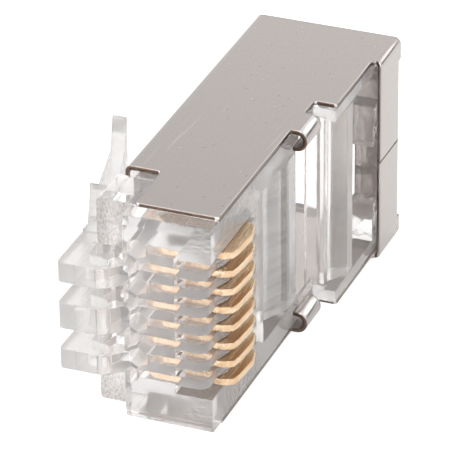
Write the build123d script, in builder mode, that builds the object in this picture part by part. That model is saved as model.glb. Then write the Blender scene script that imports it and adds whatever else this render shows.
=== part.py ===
import os

from build123d import *

# Shielded eight-position modular plug, uncrimped, lying on one side wall.
# Across (X) runs from the latch side to the contact side, along (Y) from the
# nose to the cable end, and Z across the plug's width. Millimetres.

# Overall sizes over the shield
plug_width = 11.68
plug_depth = 8.05
plug_length = 22.50

# Shield sheet
sheet = 0.22
sheet_bend = 0.36
sheet_gap = 0.02

# Housing: distances from the latch side, and behind the nose
contact_face = 6.34
flap_room = 0.29
nose_inset = 0.14
nose_underside = 1.72
latch_floor = 0.75
shoulder_face = -0.15
shoulder_front = 1.25
shoulder_back = 3.82
shoulder_corner = 0.20
shield_wall_front = 4.62
rear_step = 14.05
nose_chamfer = (0.12, 0.50)
nose_gap = 0.05
body_corner = 0.20

# Contacts
contact_count = 8
contact_pitch = 1.02
blade_thickness = 0.36
blade_clearance = 0.05
blade_front = 1.43
blade_back = 4.96
blade_toe_top = 6.95
blade_heel_top = 7.05
blade_toe_slope = 0.25
blade_lip = 0.40
blade_corner = 0.12
short_blade_tip = 2.72
long_blade_tip = 2.20
blade_point = 0.70
crimp_stroke = 0.95

# Comb ribs and the front wall under them
front_wall_top = 4.40
front_wall = 1.00
comb_top = 6.05
comb_rise_start = 1.45
comb_rise_end = 2.20
comb_corner = 0.60
slot_end = 5.96
slot_front_gap = 0.10

# Wire channels, in two staggered rows
channel_across_corners = 1.14
near_row = 2.20
far_row = 1.62
channel_end = 7.46

# Hollows behind the contacts
side_wall = 1.26
rear_side_wall = 0.66
chamber_floor = 1.05
jacket_start = 12.00
jacket_floor = 1.10
front_window = 6.95
clamp_bridge = 0.50
bridge_top_depth = 0.60
bridge_depth = 1.69
rear_beam = 1.56
rear_beam_depth = 1.34

# Posts on the rear frame, as seen in the rear window
post_length = 1.00
low_post = (0.90, 3.10)
high_post = (6.50, 8.84)

# Crimp clamps
clamp_clearance = 0.05
knuckle_radius = 0.25
wire_bar_front = 10.30
wire_bar_back = 11.60
wire_bar_depth = 1.44
wire_knuckle_depth = 1.84
jacket_bar_front = 15.85
jacket_bar_back = 16.70
jacket_bar_depth = 1.84
jacket_knuckle_depth = 0.89

# Latch
latch_root_width = 5.97
rib_width = 1.08
middle_rib_width = 1.43
latch_width = 6.20
tail_width = 3.20
root_front = -0.95
root_thickness = 1.20
root_face = -1.40
plate_start = 2.93
latch_shoulder = 7.18
shoulder_offset = -3.05
tail_bend = 12.95
tail_bend_offset = -4.45
tail_bend_radius = 4.00
latch_tip = 17.03
tip_offset = -6.02
tail_thickness = 0.82
hinge_across = 0.40
hinge_gap = 0.04
root_slope_start = 0.96
root_stub_top = 2.00
root_corner = 0.25
tip_corner = 0.45
latch_corner = 0.35

# Shield outline
shield_front = 1.16
notch_across = 1.93
notch_back = 4.57
edge_reveal = 0.01
side_step = 14.27
flap_length = 3.15
flap_seam = 0.05
relief_radius = 0.25
front_corner = 0.30
notch_corner = 0.20
step_corner = 0.20
step_share = 0.45
flap_corner = 0.40
hook_front = 10.90
hook_back = 12.90
hook_radius = 0.58
lip_edge = 5.60
lip_side = 1.20

middle = plug_width / 2
rear_face = plug_depth - sheet - flap_room
bridge_top = rear_face - bridge_top_depth
bridge_floor = rear_face - bridge_depth
beam_floor = rear_face - rear_beam_depth
housing_end = plug_length - sheet - sheet_gap
rear_window_end = housing_end - rear_beam
flap_front = plug_length - flap_length
side_edge = contact_face - edge_reveal
rear_edge = rear_face + edge_reveal
body_low = sheet + sheet_gap
body_high = plug_width - body_low
body_back = sheet + sheet_gap
nose_low = nose_inset
nose_high = plug_width - nose_inset
nose_back = shield_front - nose_gap
chamber_roof = contact_face - wire_knuckle_depth - knuckle_radius - clamp_clearance
slot_width = blade_thickness + 2 * blade_clearance
contact_levels = [middle + (contact_count / 2 - 0.5 - i) * contact_pitch for i in range(contact_count)]
comb_low = contact_levels[-1] - slot_width / 2
comb_high = contact_levels[0] + slot_width / 2
inner_low = body_low + side_wall
inner_high = body_high - side_wall
rear_low = body_low + rear_side_wall
rear_high = body_high - rear_side_wall

# Outlines are drawn across and along from the latch side and the nose, and
# pulled up through the width. Channels are drawn as seen from the nose, and
# the nose block along and up, as seen from the contact side.
corner = (-plug_depth / 2, -plug_length / 2, 0)
side_view = Plane(origin=corner, x_dir=(1, 0, 0), z_dir=(0, 0, 1))
nose_view = Plane(origin=corner, x_dir=(1, 0, 0), z_dir=(0, -1, 0))
end_view = Plane(origin=corner, x_dir=(0, 1, 0), z_dir=(1, 0, 0))


def prism(points, low, high, mode=Mode.ADD):
    """Pull a straight-sided outline up between two levels of the width."""
    with BuildSketch(side_view.offset(low)) as outline:
        with BuildLine():
            Polyline(*points, close=True)
        make_face()
    extrude(outline.sketch, amount=high - low, mode=mode)


def block(across, along, low, high, mode=Mode.ADD):
    """A square-cornered block between two places each way."""
    near, far = across
    front, back = along
    prism([(near, front), (far, front), (far, back), (near, back)], low, high, mode)


def is_long(number):
    """Even contacts are long and reach the far row of wires."""
    return number % 2 == 0


def blade_tip(number):
    return long_blade_tip if is_long(number) else short_blade_tip


# Latch root: three ribs, each with a round end in a seat on the nose
rib_centres = [
    middle - latch_root_width / 2 + rib_width / 2,
    middle,
    middle + latch_root_width / 2 - rib_width / 2,
]
rib_widths = [rib_width, middle_rib_width, rib_width]
hinge_along = root_front + root_thickness / 2
knuckle = root_thickness / 2
seat = knuckle + hinge_gap

# Clear housing
with BuildPart() as housing:
    prism(
        [
            (nose_underside, nose_back - sheet),
            (contact_face, nose_back - sheet),
            (contact_face, rear_step),
            (rear_face, rear_step),
            (rear_face, housing_end),
            (body_back, housing_end),
            (body_back, shield_wall_front),
            (latch_floor, shield_wall_front),
            (latch_floor, shoulder_front),
            (nose_underside, shoulder_front),
        ],
        body_low,
        body_high,
    )
    back_edges = housing.edges().filter_by(Axis.Y).group_by(Axis.X)[0]
    fillet(back_edges, body_corner)

    # Nose block, as wide as the jack allows, with its front edges broken
    chamfer_along, chamfer_up = nose_chamfer
    with BuildSketch(end_view.offset(nose_underside)) as nose:
        with BuildLine():
            Polyline(
                (0, nose_low + chamfer_up),
                (chamfer_along, nose_low),
                (nose_back, nose_low),
                (nose_back, nose_high),
                (chamfer_along, nose_high),
                (0, nose_high - chamfer_up),
                close=True,
            )
        make_face()
    extrude(nose.sketch, amount=contact_face - nose_underside)

    # Shoulder blocks on both sides of the latch root
    latch_low = middle - latch_width / 2 - blade_clearance
    latch_high = middle + latch_width / 2 + blade_clearance
    shoulders = (shoulder_face, nose_underside + sheet)
    block(shoulders, (shoulder_front, shoulder_back), nose_low, latch_low)
    block(shoulders, (shoulder_front, shoulder_back), latch_high, nose_high)
    shoulder_edges = housing.edges().filter_by(Axis.Y).group_by(Axis.X)[0]
    fillet(shoulder_edges, shoulder_corner)

    # Stubs that carry the latch ribs
    for centre, width in zip(rib_centres, rib_widths):
        prism(
            [
                (hinge_across, root_front),
                (hinge_across, root_front + root_thickness),
                (latch_floor, shoulder_front),
                (root_stub_top, shoulder_front),
                (root_stub_top, 0),
                (root_slope_start, root_front),
            ],
            centre - width / 2,
            centre + width / 2,
        )
    with BuildSketch(side_view.offset(body_low)) as seat_outline:
        with Locations((hinge_across, hinge_along)):
            Circle(seat)
    extrude(seat_outline.sketch, amount=body_high - body_low, mode=Mode.SUBTRACT)

    # Comb ribs stand a little lower than the blocks at both ends
    with BuildSketch(side_view.offset(comb_low)) as comb:
        with BuildLine():
            Line((comb_top - comb_corner, 0), (comb_top - comb_corner, -1))
            Line((comb_top - comb_corner, -1), (contact_face + 1, -1))
            Line((contact_face + 1, -1), (contact_face + 1, comb_rise_end))
            Line((contact_face + 1, comb_rise_end), (contact_face, comb_rise_end))
            Line((contact_face, comb_rise_end), (comb_top, comb_rise_start))
            Line((comb_top, comb_rise_start), (comb_top, comb_corner))
            RadiusArc((comb_top, comb_corner), (comb_top - comb_corner, 0), comb_corner)
        make_face()
    extrude(comb.sketch, amount=comb_high - comb_low, mode=Mode.SUBTRACT)

    # Slots for the blades, and the staggered wire channels under them
    for number, level in enumerate(contact_levels, start=1):
        low = level - slot_width / 2
        high = level + slot_width / 2
        floor = blade_tip(number) - crimp_stroke - slot_front_gap
        block((front_wall_top, contact_face + 1), (-1, slot_end), low, high, Mode.SUBTRACT)
        block(
            (floor, contact_face),
            (blade_front - slot_front_gap, blade_back + slot_front_gap),
            low,
            high,
            Mode.SUBTRACT,
        )
        row = far_row if is_long(number) else near_row
        with BuildSketch(nose_view.offset(-front_wall)) as channel:
            with Locations((row, level)):
                RegularPolygon(channel_across_corners / 2, 6, rotation=30)
        extrude(channel.sketch, amount=front_wall - channel_end, mode=Mode.SUBTRACT)

    # Conductor chamber, jacket cavity, and the windows over them
    chamber = (channel_end - sheet, jacket_start)
    block((chamber_floor, chamber_roof), chamber, inner_low, inner_high, Mode.SUBTRACT)
    block((jacket_floor, beam_floor), (jacket_start, housing_end + 1), rear_low, rear_high, Mode.SUBTRACT)
    block((chamber_roof, contact_face + 1), (front_window, rear_step), inner_low, inner_high, Mode.SUBTRACT)
    bridge = (rear_step, rear_step + clamp_bridge)
    block((bridge_top, rear_face + 1), (rear_step - 1, rear_window_end), rear_low, rear_high, Mode.SUBTRACT)
    block((beam_floor, bridge_top), (bridge[1], rear_window_end), rear_low, rear_high, Mode.SUBTRACT)
    block((bridge_floor, beam_floor), bridge, rear_low, rear_high)

    # Posts on the rear frame
    for low, high in (low_post, high_post):
        posts = (rear_window_end - post_length, rear_window_end + sheet)
        block((beam_floor, rear_face), posts, low, high)

housing.part.label = "housing"

# Bar over the single wires: it swings in on a web at the window's front
wire_pivot = (contact_face - wire_knuckle_depth, front_window + clamp_clearance + knuckle_radius)
with BuildPart() as conductor_clamp:
    pivot_across, pivot_along = wire_pivot
    prism(
        [
            (pivot_across + knuckle_radius, pivot_along),
            (contact_face, wire_bar_front),
            (contact_face, wire_bar_back),
            (contact_face - wire_bar_depth, wire_bar_back),
            (contact_face - wire_bar_depth - knuckle_radius / 2, wire_bar_front),
            (pivot_across - knuckle_radius, pivot_along),
        ],
        inner_low + clamp_clearance,
        inner_high - clamp_clearance,
    )
    with BuildSketch(side_view.offset(inner_low + clamp_clearance)) as web_end:
        with Locations(wire_pivot):
            Circle(knuckle_radius)
    extrude(web_end.sketch, amount=inner_high - inner_low - 2 * clamp_clearance)
conductor_clamp.part.label = "conductor_clamp"

# Bar over the cable jacket, rounded underneath
jacket_pivot = (
    rear_face - jacket_knuckle_depth,
    rear_step + clamp_bridge + clamp_clearance + knuckle_radius,
)
with BuildPart() as jacket_clamp:
    pivot_across, pivot_along = jacket_pivot
    with BuildSketch(side_view.offset(rear_low + clamp_clearance)) as jacket_bar:
        with BuildLine():
            upper = (pivot_across + knuckle_radius, pivot_along)
            lower = (pivot_across - knuckle_radius, pivot_along)
            lowest = (rear_face - jacket_bar_depth, jacket_bar_back - knuckle_radius)
            Line(upper, lower)
            RadiusArc(lower, lowest, pivot_along - jacket_bar_back)
            Line(lowest, (rear_face - jacket_bar_depth, jacket_bar_back))
            Line((rear_face - jacket_bar_depth, jacket_bar_back), (rear_face, jacket_bar_back))
            Line((rear_face, jacket_bar_back), (rear_face, jacket_bar_front))
            Line((rear_face, jacket_bar_front), upper)
        make_face()
        with Locations(jacket_pivot):
            Circle(knuckle_radius)
    extrude(jacket_bar.sketch, amount=rear_high - rear_low - 2 * clamp_clearance)
jacket_clamp.part.label = "jacket_clamp"

# Gold plated blades, with three piercing points below
blades = []
for number, level in enumerate(contact_levels, start=1):
    tip = blade_tip(number)
    point_pitch = (blade_back - blade_front) / 3
    low = level - blade_thickness / 2
    with BuildPart() as blade:
        outline = [(tip + blade_point, blade_front)]
        for point in range(3):
            outline.append((tip, blade_front + (point + 0.5) * point_pitch))
            outline.append((tip + blade_point, blade_front + (point + 1) * point_pitch))
        outline += [
            (contact_face, blade_back),
            (blade_heel_top - blade_lip / 2, blade_back - blade_lip),
            (blade_heel_top, blade_back - 3 * blade_lip),
            (blade_toe_top, blade_front + 3 * blade_toe_slope),
            (blade_toe_top - blade_toe_slope / 2, blade_front + blade_toe_slope),
            (contact_face, blade_front),
        ]
        prism(outline, low, low + blade_thickness)
        top_edges = blade.edges().filter_by(Axis.Z).group_by(Axis.X)[-4:]
        fillet([edge for group in top_edges for edge in group], blade_corner)
    blade.part.label = f"contact_blade_{number}"
    blades.append(blade)

# Latch: ribs, wide locking plate and tail
inner_tip = tip_offset + tail_thickness
with BuildPart() as latch:
    for centre, width in zip(rib_centres, rib_widths):
        low = centre - width / 2
        with BuildSketch(side_view.offset(low)) as rib:
            with BuildLine():
                Polyline(
                    (hinge_across, root_front),
                    (root_face, root_front),
                    (root_face, plate_start),
                    (root_face + root_thickness, plate_start),
                    (root_face + root_thickness, root_front + root_thickness),
                    (hinge_across, root_front + root_thickness),
                    close=True,
                )
            make_face()
            outer_bend = rib.vertices().group_by(Axis.X)[0].sort_by(Axis.Y)[0]
            inner_bend = rib.vertices().group_by(Axis.X)[1].sort_by(Axis.Y)[0]
            fillet([outer_bend, inner_bend], root_corner)
            with Locations((hinge_across, hinge_along)):
                Circle(knuckle)
        extrude(rib.sketch, amount=width)
    prism(
        [
            (root_face, plate_start - root_thickness / 2),
            (root_face, plate_start),
            (shoulder_offset, latch_shoulder),
            (shoulder_offset + root_thickness, latch_shoulder),
            (root_face + root_thickness, plate_start),
            (root_face + root_thickness, plate_start - root_thickness / 2),
        ],
        middle - latch_width / 2,
        middle + latch_width / 2,
    )
    with BuildSketch(side_view.offset(middle - tail_width / 2)) as tail:
        with BuildLine():
            Polyline(
                (shoulder_offset, latch_shoulder),
                (tail_bend_offset, tail_bend),
                (tip_offset, latch_tip),
                (inner_tip, latch_tip),
                (tail_bend_offset + tail_thickness, tail_bend),
                (shoulder_offset + root_thickness, latch_shoulder),
                close=True,
            )
        make_face()
        bends = tail.vertices().group_by(Axis.Y)[1]
        fillet(bends, tail_bend_radius)
    extrude(tail.sketch, amount=tail_width)
    locking_corners = latch.edges().filter_by(Axis.X).group_by(Axis.Y)[-2]
    fillet(locking_corners, latch_corner)
    tip_edges = latch.edges().group_by(Axis.Y)[-1].filter_by(Axis.X)
    fillet(tip_edges, tip_corner)
latch.part.label = "latch"


def through_sheet(edge):
    """Corner edges of the sheet are only as long as it is thick."""
    return edge.length < 1.5 * sheet


# Folded shield: a sleeve trimmed to the side walls, hooks and flaps
with BuildPart() as shield:
    with BuildSketch(nose_view.offset(-shield_front)) as sleeve:
        with Locations((plug_depth / 2, middle)):
            RectangleRounded(plug_depth, plug_width, sheet_bend)
            RectangleRounded(
                plug_depth - 2 * sheet,
                plug_width - 2 * sheet,
                sheet_bend - sheet,
                mode=Mode.SUBTRACT,
            )
    extrude(sleeve.sketch, amount=shield_front - plug_length)
    # Cut away the contact side in front of the flaps, and the latch notch
    with BuildSketch(side_view.offset(-1)) as trim:
        with BuildLine():
            Polyline(
                (side_edge, 0),
                (plug_depth + 1, 0),
                (plug_depth + 1, flap_front),
                (rear_edge, flap_front),
                (rear_edge, side_step),
                (side_edge, side_step),
                close=True,
            )
        make_face()
        with Locations((rear_edge + relief_radius, flap_front)):
            Circle(relief_radius)
    extrude(trim.sketch, amount=plug_width + 2, mode=Mode.SUBTRACT)
    block((-1, notch_across), (0, notch_back), -1, plug_width + 1, Mode.SUBTRACT)
    wall_corners = shield.edges().filter_by(Axis.Z).filter_by(through_sheet)
    front_corners, notch_corners, step_corners = wall_corners.group_by(Axis.Y)[:3]
    fillet(front_corners, front_corner)
    fillet(notch_corners, notch_corner)
    fillet(step_corners, min(step_corner, step_share * (rear_edge - side_edge)))
    # The flaps meet in a butt seam with rounded corners
    seam_low = middle - flap_seam / 2
    seam_high = middle + flap_seam / 2
    flap_zone = (plug_depth - 2 * sheet, plug_depth + 1)
    block(flap_zone, (flap_front - 1, plug_length + 1), seam_low, seam_high, Mode.SUBTRACT)
    flap_edges = shield.edges().filter_by(Axis.X).group_by(Axis.X)[-1]
    fillet(flap_edges.group_by(Axis.Y)[0], flap_corner)
    # Each flap ends in a lip folded down behind the housing
    bend_start = plug_length - 2 * sheet_bend
    for low, high in ((lip_side, seam_low), (seam_high, plug_width - lip_side)):
        block(flap_zone, (bend_start, plug_length + 1), low, high, Mode.SUBTRACT)
        with BuildSketch(side_view.offset(low)) as lip:
            with BuildLine():
                Polyline(
                    (plug_depth - sheet, bend_start),
                    (plug_depth, bend_start),
                    (plug_depth, plug_length),
                    (lip_edge, plug_length),
                    (lip_edge, plug_length - sheet),
                    (plug_depth - sheet, plug_length - sheet),
                    close=True,
                )
            make_face()
            outer_fold = lip.vertices().group_by(Axis.Y)[-1].sort_by(Axis.X)[-1]
            inner_fold = lip.vertices().group_by(Axis.Y)[-2].sort_by(Axis.X)[-1]
            fillet(outer_fold, sheet_bend)
            fillet(inner_fold, sheet_bend - sheet)
        extrude(lip.sketch, amount=high - low)
    # Curled hooks on the contact edge of both side walls
    for side in (-1, 1):
        level = middle + side * (middle - hook_radius)
        with BuildSketch(nose_view.offset(-hook_front)) as hook:
            with Locations((side_edge + hook_radius / 2, level)):
                Circle(hook_radius)
                Circle(hook_radius - sheet, mode=Mode.SUBTRACT)
                with Locations((-hook_radius / 2, 0)):
                    Rectangle(hook_radius, 2 * hook_radius, mode=Mode.SUBTRACT)
            wall_level = middle + side * (middle - sheet / 2)
            curl_level = middle + side * (middle - 2 * hook_radius + sheet / 2)
            with Locations((side_edge, wall_level)):
                Rectangle(hook_radius, sheet)
            with Locations((side_edge + hook_radius / 3, curl_level)):
                Rectangle(hook_radius / 3, sheet)
        extrude(hook.sketch, amount=hook_front - hook_back)
shield.part.label = "shield"

os.makedirs("parts", exist_ok=True)
for piece in [housing, shield, latch, conductor_clamp, jacket_clamp] + blades:
    export_step(piece.part, f"parts/{piece.part.label}.step")
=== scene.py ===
import math
import bpy
from mathutils import Matrix, Vector

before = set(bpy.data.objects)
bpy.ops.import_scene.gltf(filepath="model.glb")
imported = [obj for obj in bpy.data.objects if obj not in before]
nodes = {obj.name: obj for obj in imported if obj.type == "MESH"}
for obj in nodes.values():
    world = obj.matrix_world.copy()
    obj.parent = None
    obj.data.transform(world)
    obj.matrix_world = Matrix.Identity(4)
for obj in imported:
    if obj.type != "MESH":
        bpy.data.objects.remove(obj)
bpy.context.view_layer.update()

MM = 0.001
WHITE = (1.0, 1.0, 1.0, 1.0)

# Camera as the photograph was taken: long lens, from above the nose
CAMERA_AZIMUTH = 21.857
CAMERA_ELEVATION = 29.101
CAMERA_ROLL = -0.563
CAMERA_DISTANCE = 222.63 * MM
CAMERA_ACROSS = -0.842 * MM
CAMERA_UP = 0.359 * MM
CAMERA_LENS = 351.62
CAMERA_SENSOR = 36.0
CAMERA_NEAR = 0.01
CAMERA_FAR = 5.0
CAMERA_TARGET = Vector((-0.025, -1.25, 5.84)) * MM

# Studio: a white tent, and how bright floor and tent look through the plastic
TENT = 0.90
SEEN_THROUGH = 1.32
FLOOR_SEEN_THROUGH = 1.9
FLOOR_HALF = 0.6
FLOOR_GREY = (0.55, 0.55, 0.55, 1)
FLOOR_GLOW = 0.55
FLOOR_LIFT = 0.20
FLOOR_MIRROR_LOSS = 0.13
BOUNCES = 24
DIFFUSE_BOUNCES = 8

# Lamps: place, size and power
LAMPS = {
    "lamp_above": ((-0.10, 0.05, 0.40), 0.30, 0.35),
    "lamp_front": ((-0.30, -0.30, 0.25), 0.25, 0.35),
    "lamp_side": ((0.35, -0.10, 0.20), 0.25, 0.25),
}

# Dark and bright cards mirrored in the metal: direction, outer and inner edge
# as cosines of the angle from it, and strength
CARDS = [
    ((-0.33, -0.94, 0.08), 0.90, 0.96, -0.76),
    ((0.58, 0.81, 0.02), 0.95, 0.985, -0.72),
    ((-0.33, -0.62, 0.71), 0.74, 0.85, 2.2),
    ((0.42, 0.81, 0.41), 0.962, 0.985, 1.0),
]

# Places on the plug that have a finish of their own
SHOULDER_FRONT = -10.0 * MM
SHOULDER_HALF = 0.02 * MM
NOSE_UNDERSIDE = -2.31 * MM
LATCH_FACE = -4.1 * MM
ROOT_BACK = -7.9 * MM
ROOT_FADE = 0.5 * MM
COMB_RUN = (-10.0 * MM, -5.2 * MM)
RIB_FOOT = 0.375 * MM
POST_RUN = (8.0 * MM, 9.8 * MM)
POST_LEVELS = (1.9 * MM, 3.6 * MM)
SHEET_RUN = (-10.0 * MM, 11.0 * MM)
REAR_LIP = 10.5 * MM
FLAP_START = 8.0 * MM
HOOK_MIDDLE = 0.65 * MM
HOOK_HALF = 1.05 * MM
WIDTH_MIDDLE = 5.84 * MM
SEAM_HALF = 0.05 * MM
CONTACT_SIDE = 3.0 * MM

# Surface directions of the sheet's rounded edges: along at the front, across at the side
FRONT_ROLL = (-0.96, -0.20)
SIDE_ROLL = (0.25, 0.85)

# Colours of the plastics, each from its darker to its lighter patches
CLEAR_SHADES = ((0.965, 0.947, 0.938, 1), (0.99, 0.973, 0.965, 1))
LATCH_SHADES = ((0.75, 0.735, 0.725, 1), (0.81, 0.795, 0.785, 1))
JACKET_BAR_SHADES = ((0.91, 0.895, 0.885, 1), (0.96, 0.945, 0.935, 1))
# The wire bar's plastic is tinted darker: painted shade for the shaded inside of the plug seen
# through it
WIRE_BAR_PAINTED_SHADE = ((0.56, 0.545, 0.535, 1), (0.76, 0.745, 0.735, 1))
GRIT_COLOUR = (0.54, 0.49, 0.47, 1)
DUST_COLOUR = (0.34, 0.24, 0.18, 1)
PLASTIC_INDEX = 1.45
GRIT_HAZE = 0.5
WAVE_HAZE = 0.2
ROOT_HAZE = 0.30
SHADOW_LET_THROUGH = 0.93
FLOW_WAVES = (900, 260, 900)
BAR_GRAIN = (900, 300, 6500)
BAR_STREAKS = (900, 240, 3600)

# Colours of the nickel and the gold
NICKEL_FRONT = (0.50, 0.463, 0.445, 1)
NICKEL_BACK = (0.575, 0.532, 0.511, 1)
NICKEL_MOTTLE = (0.46, 0.375, 0.32, 1)
DARK_SPECK = (0.22, 0.13, 0.08, 1)
PALE_SPECK = (0.82, 0.81, 0.80, 1)
SCRATCH_COLOUR = (0.72, 0.70, 0.68, 1)
# Near white on the sheet's rounded edges: a painted highlight
PAINTED_EDGE_HIGHLIGHT = (0.96, 0.95, 0.94, 1)
# Dark brown on the sheet's cut faces and in the seam between the flaps: painted shade
PAINTED_EDGE_SHADE = (0.16, 0.115, 0.09, 1)
GOLD_DARK = (0.84, 0.575, 0.35, 1)
GOLD_LIGHT = (0.97, 0.765, 0.545, 1)
GOLD_WORN = (0.74, 0.50, 0.295, 1)

# Rounding of the edges
PLASTIC_EDGE = 0.06 * MM
SHEET_EDGE = 0.10 * MM
BLADE_EDGE = 0.04 * MM
EDGE_STEPS = 3
MERGE_DISTANCE = 0.00005 * MM
FLAT_ANGLE = math.radians(0.5)
CORNER_ANGLE = math.radians(35)

BLADE_NODES = sorted(name for name in nodes if name.startswith("contact_blade_"))


# Small helpers for shader trees
def add(tree, kind, **settings):
    node = tree.nodes.new(kind)
    for key, value in settings.items():
        setattr(node, key, value)
    return node


def feed(tree, socket, value):
    """Set a socket to a plain value, or link it to another node's output."""
    if isinstance(value, bpy.types.NodeSocket):
        tree.links.new(value, socket)
    else:
        socket.default_value = value


def start_material(name):
    """A material with its Principled shader, and its node tree."""
    material = bpy.data.materials.new(name)
    material.use_nodes = True
    tree = material.node_tree
    return material, tree, tree.nodes["Principled BSDF"]


def combine(tree, operation, first, second):
    node = add(tree, "ShaderNodeMath", operation=operation)
    for socket, value in zip(node.inputs, (first, second)):
        feed(tree, socket, value)
    return node.outputs["Value"]


def both(tree, first, second):
    """Where two masks overlap, or one mask at part of its strength."""
    return combine(tree, "MULTIPLY", first, second)


def either(tree, first, second):
    """The stronger of two masks."""
    return combine(tree, "MAXIMUM", first, second)


def above(tree, value, level):
    return combine(tree, "GREATER_THAN", value, level)


def below(tree, value, level):
    return combine(tree, "LESS_THAN", value, level)


def zone(tree, value, low, high):
    """1 where a coordinate lies between two levels, else 0."""
    return both(tree, above(tree, value, low), below(tree, value, high))


def spread(tree, value, low, high, to_low, to_high):
    """Map a value from one range to another, kept inside it."""
    node = add(tree, "ShaderNodeMapRange")
    names = ("Value", "From Min", "From Max", "To Min", "To Max")
    for name, number in zip(names, (value, low, high, to_low, to_high)):
        feed(tree, node.inputs[name], number)
    return node.outputs["Result"]


def colour_socket(sockets, name):
    """The colour socket of that name on a Mix node, which has several of each name."""
    return [socket for socket in sockets if socket.name == name and socket.type == "RGBA"][0]


def blend_colours(tree, factor, first, second):
    node = add(tree, "ShaderNodeMix", data_type="RGBA")
    feed(tree, node.inputs["Factor"], factor)
    feed(tree, colour_socket(node.inputs, "A"), first)
    feed(tree, colour_socket(node.inputs, "B"), second)
    return colour_socket(node.outputs, "Result")


def object_parts(tree, output="Object"):
    """X, Y and Z of the place on the piece, or of its surface direction."""
    coordinates = add(tree, "ShaderNodeTexCoord")
    parts = add(tree, "ShaderNodeSeparateXYZ")
    tree.links.new(coordinates.outputs[output], parts.inputs["Vector"])
    return parts.outputs


# Effects that more than one material uses
def start_group(name, inputs, output, kind):
    """A node group with named inputs and one output."""
    group = bpy.data.node_groups.new(name, "ShaderNodeTree")
    for socket, socket_kind, value in inputs:
        made = group.interface.new_socket(socket, in_out="INPUT", socket_type=socket_kind)
        made.default_value = value
    group.interface.new_socket(output, in_out="OUTPUT", socket_type=kind)
    return group, add(group, "NodeGroupInput").outputs, add(group, "NodeGroupOutput").inputs


def make_marks():
    """Group: soft random marks, stretched along the axes, 0 to 1 between two noise levels."""
    inputs = [
        ("Stretch", "NodeSocketVector", (1000, 1000, 1000)),
        ("Detail", "NodeSocketFloat", 2.0),
        ("Low", "NodeSocketFloat", 0.3),
        ("High", "NodeSocketFloat", 0.7),
    ]
    group, given, result = start_group("marks", inputs, "Mask", "NodeSocketFloat")
    coordinates = add(group, "ShaderNodeTexCoord")
    stretched = add(group, "ShaderNodeVectorMath", operation="MULTIPLY")
    feed(group, stretched.inputs[0], coordinates.outputs["Object"])
    feed(group, stretched.inputs[1], given["Stretch"])
    noise = add(group, "ShaderNodeTexNoise")
    noise.inputs["Scale"].default_value = 1.0
    feed(group, noise.inputs["Vector"], stretched.outputs["Vector"])
    feed(group, noise.inputs["Detail"], given["Detail"])
    mask = spread(group, noise.outputs["Fac"], given["Low"], given["High"], 0.0, 1.0)
    mask.node.interpolation_type = "SMOOTHSTEP"
    feed(group, result["Mask"], mask)
    return group


def make_relief():
    """Group: fine relief over the surface, on edges that catch light as if slightly rounded."""
    inputs = [
        ("Height", "NodeSocketFloat", 0.5),
        ("Strength", "NodeSocketFloat", 0.2),
        ("Depth", "NodeSocketFloat", 0.01 * MM),
        ("Edge", "NodeSocketFloat", 0.05 * MM),
    ]
    group, given, result = start_group("relief", inputs, "Normal", "NodeSocketVector")
    rounded = add(group, "ShaderNodeBevel", samples=8)
    feed(group, rounded.inputs["Radius"], given["Edge"])
    bump = add(group, "ShaderNodeBump")
    feed(group, bump.inputs["Strength"], given["Strength"])
    feed(group, bump.inputs["Distance"], given["Depth"])
    feed(group, bump.inputs["Height"], given["Height"])
    feed(group, bump.inputs["Normal"], rounded.outputs["Normal"])
    feed(group, result["Normal"], bump.outputs["Normal"])
    return group


def make_specks():
    """Group: small round specks scattered over the surface, 1 at their middle."""
    inputs = [("Density", "NodeSocketFloat", 1000.0), ("Size", "NodeSocketFloat", 0.1)]
    group, given, result = start_group("specks", inputs, "Mask", "NodeSocketFloat")
    coordinates = add(group, "ShaderNodeTexCoord")
    cells = add(group, "ShaderNodeTexVoronoi", feature="F1")
    feed(group, cells.inputs["Vector"], coordinates.outputs["Object"])
    feed(group, cells.inputs["Scale"], given["Density"])
    inner = both(group, given["Size"], 0.4)
    mask = spread(group, cells.outputs["Distance"], inner, given["Size"], 1.0, 0.0)
    feed(group, result["Mask"], mask)
    return group


def place(tree, group, **values):
    """Place a group in a material with its own values, and give its output."""
    node = add(tree, "ShaderNodeGroup", node_tree=group)
    for name, value in values.items():
        feed(tree, node.inputs[name], value)
    return node.outputs[0]


def stain(tree, base, mask, strength, colour):
    """Colour a base where a mask lies, at part of its strength."""
    return blend_colours(tree, both(tree, mask, strength), base, colour)


MARKS = make_marks()
RELIEF = make_relief()
SPECKS = make_specks()


# Materials
def plastic_zones(tree, across, along):
    """Masks of the gritty shoulder faces, the wavy comb and rear posts, and the hazy latch root."""
    frosted = zone(tree, along, SHOULDER_FRONT - SHOULDER_HALF, SHOULDER_FRONT + SHOULDER_HALF)
    frosted = both(tree, frosted, below(tree, across, NOSE_UNDERSIDE))
    comb = both(tree, zone(tree, along, *COMB_RUN), above(tree, across, RIB_FOOT))
    posts = both(tree, zone(tree, along, *POST_RUN), zone(tree, across, *POST_LEVELS))
    root = spread(tree, across, LATCH_FACE - ROOT_FADE, LATCH_FACE, 1.0, 0.0)
    root = both(tree, root, below(tree, along, ROOT_BACK))
    return frosted, either(tree, comb, posts), root


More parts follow.
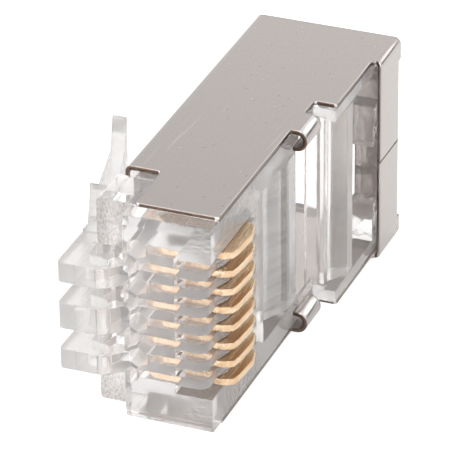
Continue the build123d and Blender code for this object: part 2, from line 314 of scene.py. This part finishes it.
def clear_plastic(name, clearness, shades, haze, flow_stretch, cloud_stretch=(420, 420, 420)):
    """Clear moulded polycarbonate with flow waves, patches of haze and brown dust."""
    material, tree, shader = start_material(name)
    shader.inputs["Metallic"].default_value = 0.0
    shader.inputs["Transmission Weight"].default_value = clearness
    shader.inputs["IOR"].default_value = PLASTIC_INDEX
    flow = place(tree, MARKS, Stretch=flow_stretch, Detail=4.0, Low=0.0, High=1.0)
    cloud = place(tree, MARKS, Stretch=cloud_stretch, Low=0.25, High=0.75)
    grit = place(tree, MARKS, Stretch=(9000, 9000, 5000), Low=0.35, High=0.65)
    waves = place(tree, MARKS, Stretch=(2600, 2600, 2600), Low=0.0, High=1.0)
    dust = place(tree, SPECKS, Density=640.0, Size=0.05)
    across, along, _ = object_parts(tree)
    frosted, wavy, root = plastic_zones(tree, across, along)

    rough = spread(tree, cloud, 0.0, 1.0, *haze)
    for mask, least in ((frosted, GRIT_HAZE), (wavy, WAVE_HAZE), (root, ROOT_HAZE)):
        rough = either(tree, rough, both(tree, mask, least))
    feed(tree, shader.inputs["Roughness"], rough)

    gritty = both(tree, frosted, grit)
    colour = blend_colours(tree, cloud, *shades)
    colour = blend_colours(tree, gritty, colour, GRIT_COLOUR)
    colour = stain(tree, colour, dust, 0.7, DUST_COLOUR)
    feed(tree, shader.inputs["Base Color"], colour)

    height = combine(tree, "ADD", flow, both(tree, gritty, 3.0))
    height = combine(tree, "ADD", height, both(tree, both(tree, wavy, waves), 8.0))
    normal = place(tree, RELIEF, Height=height, Strength=0.25, Depth=0.03 * MM, Edge=0.07 * MM)
    feed(tree, shader.inputs["Normal"], normal)

    # The plastic lets most light through, so its shadow stays faint
    path = add(tree, "ShaderNodeLightPath")
    let_light = both(tree, path.outputs["Is Shadow Ray"], SHADOW_LET_THROUGH)
    feed(tree, shader.inputs["Alpha"], combine(tree, "SUBTRACT", 1.0, let_light))
    return material


def sheet_edges(tree):
    """Masks of the painted highlight on the sheet's rounded edges, and of the painted shade on its
    cut edges and seam.
    """
    across, along, up = object_parts(tree)
    facing_across, facing_along, _ = object_parts(tree, "Normal")
    before_flap = below(tree, along, FLAP_START)

    # Painted highlight: rounded edges facing the front, and at part strength those facing the side,
    # are made near white
    front_highlight = both(tree, zone(tree, facing_along, *FRONT_ROLL), below(tree, along, 0.0))
    side_highlight = both(tree, zone(tree, facing_across, *SIDE_ROLL), before_flap)
    edge_highlight = either(tree, front_highlight, both(tree, side_highlight, 0.6))

    # Painted shade: front cut faces, side cut faces away from the hooks, and the seam between the
    # flaps are made dark brown
    front_cut = below(tree, facing_along, FRONT_ROLL[0])
    front_cut = both(tree, front_cut, below(tree, along, REAR_LIP))
    side_cut = both(tree, above(tree, facing_across, SIDE_ROLL[1]), before_flap)
    from_hook = combine(tree, "SUBTRACT", along, HOOK_MIDDLE)
    from_hook = combine(tree, "ABSOLUTE", from_hook, 0.0)
    side_cut = both(tree, side_cut, above(tree, from_hook, HOOK_HALF))
    cut = either(tree, front_cut, both(tree, side_cut, 0.75))

    seam = zone(tree, up, WIDTH_MIDDLE - SEAM_HALF, WIDTH_MIDDLE + SEAM_HALF)
    seam = both(tree, seam, above(tree, along, FLAP_START))
    seam = both(tree, seam, above(tree, across, CONTACT_SIDE))
    return edge_highlight, either(tree, cut, seam)


def nickel_sheet():
    """Nickel plated sheet: mottled, specked, lightly scratched, with a painted highlight on its
    rounded edges and painted dark brown shade on its cut edges and seam.
    """
    material, tree, shader = start_material("nickel_sheet")
    shader.inputs["Metallic"].default_value = 1.0
    along = object_parts(tree)["Y"]
    base = blend_colours(tree, spread(tree, along, *SHEET_RUN, 0.0, 1.0), NICKEL_FRONT, NICKEL_BACK)
    mottle = place(tree, MARKS, Stretch=(7000, 7000, 7000), Detail=3.0, Low=0.42, High=0.62)
    base = stain(tree, base, mottle, 0.16, NICKEL_MOTTLE)
    base = stain(tree, base, place(tree, SPECKS, Density=1300.0, Size=0.09), 0.45, DARK_SPECK)
    base = stain(tree, base, place(tree, SPECKS, Density=1070.0, Size=0.07), 0.6, PALE_SPECK)
    scratch = place(tree, MARKS, Stretch=(2600, 110, 2600), Low=0.66, High=0.72)
    base = stain(tree, base, scratch, 0.25, SCRATCH_COLOUR)
    edge_highlight, cut = sheet_edges(tree)
    # Painted highlight on the rounded edges, then painted shade on the cut faces and seam
    base = blend_colours(tree, edge_highlight, base, PAINTED_EDGE_HIGHLIGHT)
    base = blend_colours(tree, cut, base, PAINTED_EDGE_SHADE)
    feed(tree, shader.inputs["Base Color"], base)

    cloud = place(tree, MARKS, Stretch=(300, 300, 300), Detail=3.0, Low=0.2, High=0.8)
    feed(tree, shader.inputs["Roughness"], spread(tree, cloud, 0.0, 1.0, 0.15, 0.20))
    grain = place(tree, MARKS, Stretch=(9000, 9000, 9000), Detail=3.0)
    normal = place(tree, RELIEF, Height=grain, Strength=0.08, Depth=0.003 * MM, Edge=0.20 * MM)
    feed(tree, shader.inputs["Normal"], normal)
    return material


def gold_plate():
    """Gold plated blade, streaked along its length and a little worn."""
    material, tree, shader = start_material("gold_plate")
    shader.inputs["Metallic"].default_value = 1.0
    streak = place(tree, MARKS, Stretch=(5200, 260, 5200), Detail=3.0, Low=0.35, High=0.65)
    wear = place(tree, MARKS, Stretch=(2200, 2200, 2200), Detail=2.0, Low=0.35, High=0.75)
    base = blend_colours(tree, streak, GOLD_DARK, GOLD_LIGHT)
    feed(tree, shader.inputs["Base Color"], stain(tree, base, wear, 0.35, GOLD_WORN))
    feed(tree, shader.inputs["Roughness"], spread(tree, streak, 0.0, 1.0, 0.34, 0.22))
    normal = place(tree, RELIEF, Height=streak, Strength=0.35, Depth=0.01 * MM, Edge=0.06 * MM)
    feed(tree, shader.inputs["Normal"], normal)
    return material


def seen_white(tree, seen_through):
    """1 to the camera, the given brightness through the plastic, else 0; and the ray kinds."""
    rays = add(tree, "ShaderNodeLightPath").outputs
    through = both(tree, rays["Is Transmission Ray"], seen_through)
    return either(tree, rays["Is Camera Ray"], through), rays


def floor_white():
    """White floor that glows a little, so that the plug's shadow stays faint on it."""
    material, tree, shader = start_material("floor_white")
    shader.inputs["Base Color"].default_value = FLOOR_GREY
    shader.inputs["Roughness"].default_value = 0.9
    shader.inputs["Specular IOR Level"].default_value = 0.0
    shader.inputs["Emission Color"].default_value = WHITE
    seen, rays = seen_white(tree, FLOOR_SEEN_THROUGH)
    glow = combine(tree, "ADD", both(tree, seen, FLOOR_LIFT), FLOOR_GLOW)
    mirror_loss = both(tree, rays["Is Glossy Ray"], FLOOR_MIRROR_LOSS)
    glow = combine(tree, "SUBTRACT", glow, mirror_loss)
    feed(tree, shader.inputs["Emission Strength"], glow)
    return material


# Finish of the pieces from the frame
def dress(name, material, edge):
    """Give a piece its material, and round its edges by a small width."""
    piece = nodes[name]
    for slot in piece.material_slots:
        slot.material = material
    merge = piece.modifiers.new("merge", "WELD")
    merge.merge_threshold = MERGE_DISTANCE
    flat = piece.modifiers.new("flat", "DECIMATE")
    flat.decimate_type = "DISSOLVE"
    flat.angle_limit = FLAT_ANGLE
    soft = piece.modifiers.new("soft", "BEVEL")
    soft.width = edge
    soft.segments = EDGE_STEPS
    soft.limit_method = "ANGLE"
    soft.angle_limit = CORNER_ANGLE
    soft.use_clamp_overlap = True
    normals = piece.modifiers.new("normals", "WEIGHTED_NORMAL")
    normals.keep_sharp = True


# Surroundings
def make_floor():
    half = FLOOR_HALF
    corners = [(-half, -half, 0), (half, -half, 0), (half, half, 0), (-half, half, 0)]
    mesh = bpy.data.meshes.new("floor")
    mesh.from_pydata(corners, [], [(0, 1, 2, 3)])
    floor = bpy.data.objects.new("floor", mesh)
    bpy.context.scene.collection.objects.link(floor)
    mesh.materials.append(floor_white())


def make_lamp(name, spot, size, power):
    """Square soft lamp aimed at the plug; not mirrored in it, so that no metal face goes white."""
    lamp = bpy.data.lights.new(name, "AREA")
    lamp.shape = "SQUARE"
    lamp.size = size
    lamp.energy = power
    holder = bpy.data.objects.new(name, lamp)
    bpy.context.scene.collection.objects.link(holder)
    holder.location = spot
    holder.visible_glossy = False
    holder.rotation_mode = "QUATERNION"
    holder.rotation_quaternion = (Vector(spot) - CAMERA_TARGET).to_track_quat("Z", "Y")


def card(tree, direction, facing, low, high, strength):
    """A soft round card about one direction, with its strength inside it and 0 outside."""
    dot = add(tree, "ShaderNodeVectorMath", operation="DOT_PRODUCT")
    tree.links.new(direction, dot.inputs[0])
    dot.inputs[1].default_value = Vector(facing).normalized()
    return spread(tree, dot.outputs["Value"], low, high, 0.0, strength)


def make_world():
    """White to the camera and through the plastic, else a tent, with cards mirrored in metal."""
    world = bpy.data.worlds.new("studio")
    bpy.context.scene.world = world
    world.use_nodes = True
    tree = world.node_tree
    background = tree.nodes["Background"]
    direction = add(tree, "ShaderNodeTexCoord").outputs["Generated"]
    seen, rays = seen_white(tree, SEEN_THROUGH)
    cards = 0.0
    for facing, low, high, strength in CARDS:
        one = card(tree, direction, facing, low, high, strength)
        cards = combine(tree, "ADD", cards, one)
    tent = combine(tree, "ADD", both(tree, cards, rays["Is Glossy Ray"]), TENT)
    unseen = below(tree, seen, 0.5)
    strength = combine(tree, "ADD", both(tree, tent, unseen), seen)
    feed(tree, background.inputs["Strength"], strength)
    background.inputs["Color"].default_value = WHITE


def make_camera():
    azimuth = math.radians(CAMERA_AZIMUTH)
    elevation = math.radians(CAMERA_ELEVATION)
    roll = math.radians(CAMERA_ROLL)
    flat = math.cos(elevation)
    back = Vector((math.sin(azimuth) * flat, -math.cos(azimuth) * flat, math.sin(elevation)))
    level = (-back).cross(Vector((0, 0, 1))).normalized()
    upright = level.cross(-back)
    right = math.cos(roll) * level + math.sin(roll) * upright
    up = math.cos(roll) * upright - math.sin(roll) * level
    data = bpy.data.cameras.new("camera")
    data.lens = CAMERA_LENS
    data.sensor_width = CAMERA_SENSOR
    data.clip_start = CAMERA_NEAR
    data.clip_end = CAMERA_FAR
    camera = bpy.data.objects.new("camera", data)
    bpy.context.scene.collection.objects.link(camera)
    camera.matrix_world = Matrix((right, up, back)).transposed().to_4x4()
    offset = level * CAMERA_ACROSS + upright * CAMERA_UP
    camera.location = CAMERA_TARGET + back * CAMERA_DISTANCE + offset
    bpy.context.scene.camera = camera


clear = clear_plastic(
    "clear_plastic",
    clearness=0.90,
    shades=CLEAR_SHADES,
    haze=(0.04, 0.14),
    flow_stretch=FLOW_WAVES,
)
cloudy = clear_plastic(
    "cloudy_plastic",
    clearness=0.72,
    shades=LATCH_SHADES,
    haze=(0.16, 0.28),
    flow_stretch=FLOW_WAVES,
)
grained = clear_plastic(
    "grained_plastic",
    clearness=0.91,
    shades=JACKET_BAR_SHADES,
    haze=(0.08, 0.22),
    flow_stretch=BAR_GRAIN,
)
# Painted shade: the conductor clamp's plastic is tinted darker
streaked = clear_plastic(
    "streaked_plastic",
    clearness=0.88,
    shades=WIRE_BAR_PAINTED_SHADE,
    haze=(0.10, 0.26),
    flow_stretch=BAR_GRAIN,
    cloud_stretch=BAR_STREAKS,
)
nickel = nickel_sheet()
gold = gold_plate()

dress("housing", clear, PLASTIC_EDGE)
dress("latch", cloudy, PLASTIC_EDGE)
dress("conductor_clamp", streaked, PLASTIC_EDGE)
dress("jacket_clamp", grained, PLASTIC_EDGE)
dress("shield", nickel, SHEET_EDGE)
for blade in BLADE_NODES:
    dress(blade, gold, BLADE_EDGE)

make_floor()
for name, (spot, size, power) in LAMPS.items():
    make_lamp(name, spot, size, power)
make_world()
make_camera()

scene = bpy.context.scene
scene.view_settings.view_transform = "Standard"
scene.cycles.max_bounces = BOUNCES
scene.cycles.transmission_bounces = BOUNCES
scene.cycles.glossy_bounces = BOUNCES
scene.cycles.diffuse_bounces = DIFFUSE_BOUNCES
